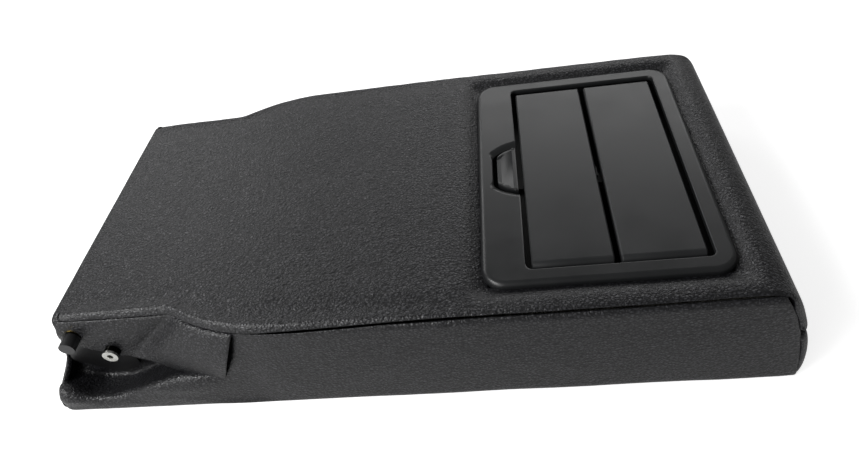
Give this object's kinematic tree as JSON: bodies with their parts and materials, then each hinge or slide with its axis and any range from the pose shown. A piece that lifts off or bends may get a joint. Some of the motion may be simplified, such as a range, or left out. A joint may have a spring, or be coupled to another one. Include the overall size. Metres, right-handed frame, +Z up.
{
  "type": "rear seat armrest",
  "caption": "Padded leather fold-down armrest with a moulded cup holder under a pair of lids and hinge pins at its rear end.",
  "frame": {"origin": "middle of the outline, on the underside that the armrest lies on", "axes": "+X towards the front end, +Y to the left, +Z up through the cup holder's lids"},
  "size_m": [0.4617, 0.2436, 0.0733],
  "materials": {
    "leather": "pebble grain, dark grey",
    "foam": "moulded foam",
    "black_paint": "black painted pressed steel",
    "plated_steel": "yellow zinc plated",
    "bright_steel": "bright",
    "buffer_rubber": "black",
    "tub_plastic": "moulded black",
    "bezel_plastic": "satin moulded dark grey",
    "lid_plastic": "satin moulded dark grey",
    "button_plastic": "satin moulded dark grey"
  },
  "bodies": {
    "armrest": {"top_panel": "leather", "left_side_panel": "leather", "right_side_panel": "leather", "front_panel": "leather", "rear_panel": "leather", "base_panel": "leather", "left_hinge_flap": "leather", "right_hinge_flap": "leather", "left_bracket": "black_paint", "right_bracket": "black_paint", "left_pivot_stud": "plated_steel", "right_pivot_stud": "plated_steel", "left_stop_pin": "plated_steel", "right_stop_pin": "plated_steel", "left_stop_sleeve": "buffer_rubber", "right_stop_sleeve": "buffer_rubber", "rear_hinge_pin": "bright_steel", "front_hinge_pin": "bright_steel", "rear_lid_spring": "bright_steel", "front_lid_spring": "bright_steel", "button_springs": "bright_steel", "tub_screws": "bright_steel", "foam_core": "foam", "carrier_plate": "black_paint", "cross_tube": "bright_steel", "cup_tub": "tub_plastic", "bezel": "bezel_plastic"},
    "rear_lid": {"rear_lid": "lid_plastic"},
    "front_lid": {"front_lid": "lid_plastic"},
    "button": {"release_button": "button_plastic"},
    "latch": {"latch_slide": "tub_plastic"}
  },
  "joints": [
    {"name": "rear_lid_hinge", "type": "hinge", "parent": "armrest", "child": "rear_lid", "pos_m": [0.0905, 0, 0.0665], "axis": [0, -1, 0], "range_deg": [0, 95]},
    {"name": "front_lid_hinge", "type": "hinge", "parent": "armrest", "child": "front_lid", "pos_m": [0.1735, 0, 0.0665], "axis": [0, 1, 0], "range_deg": [0, 95]},
    {"name": "button_press", "type": "slide", "parent": "armrest", "child": "button", "axis": [0, 0, -1], "range_m": [0, 0.003], "stiffness_N_per_m": 400, "springref_m": -0.002, "deforming": ["button_springs"]},
    {"name": "latch_travel", "type": "slide", "parent": "armrest", "child": "latch", "axis": [1, 0, 0], "range_m": [0, 0.003]}
  ],
  "couplings": [
    {"joint": "latch_travel", "follows": "button_press", "ratio": 1}
  ]
}
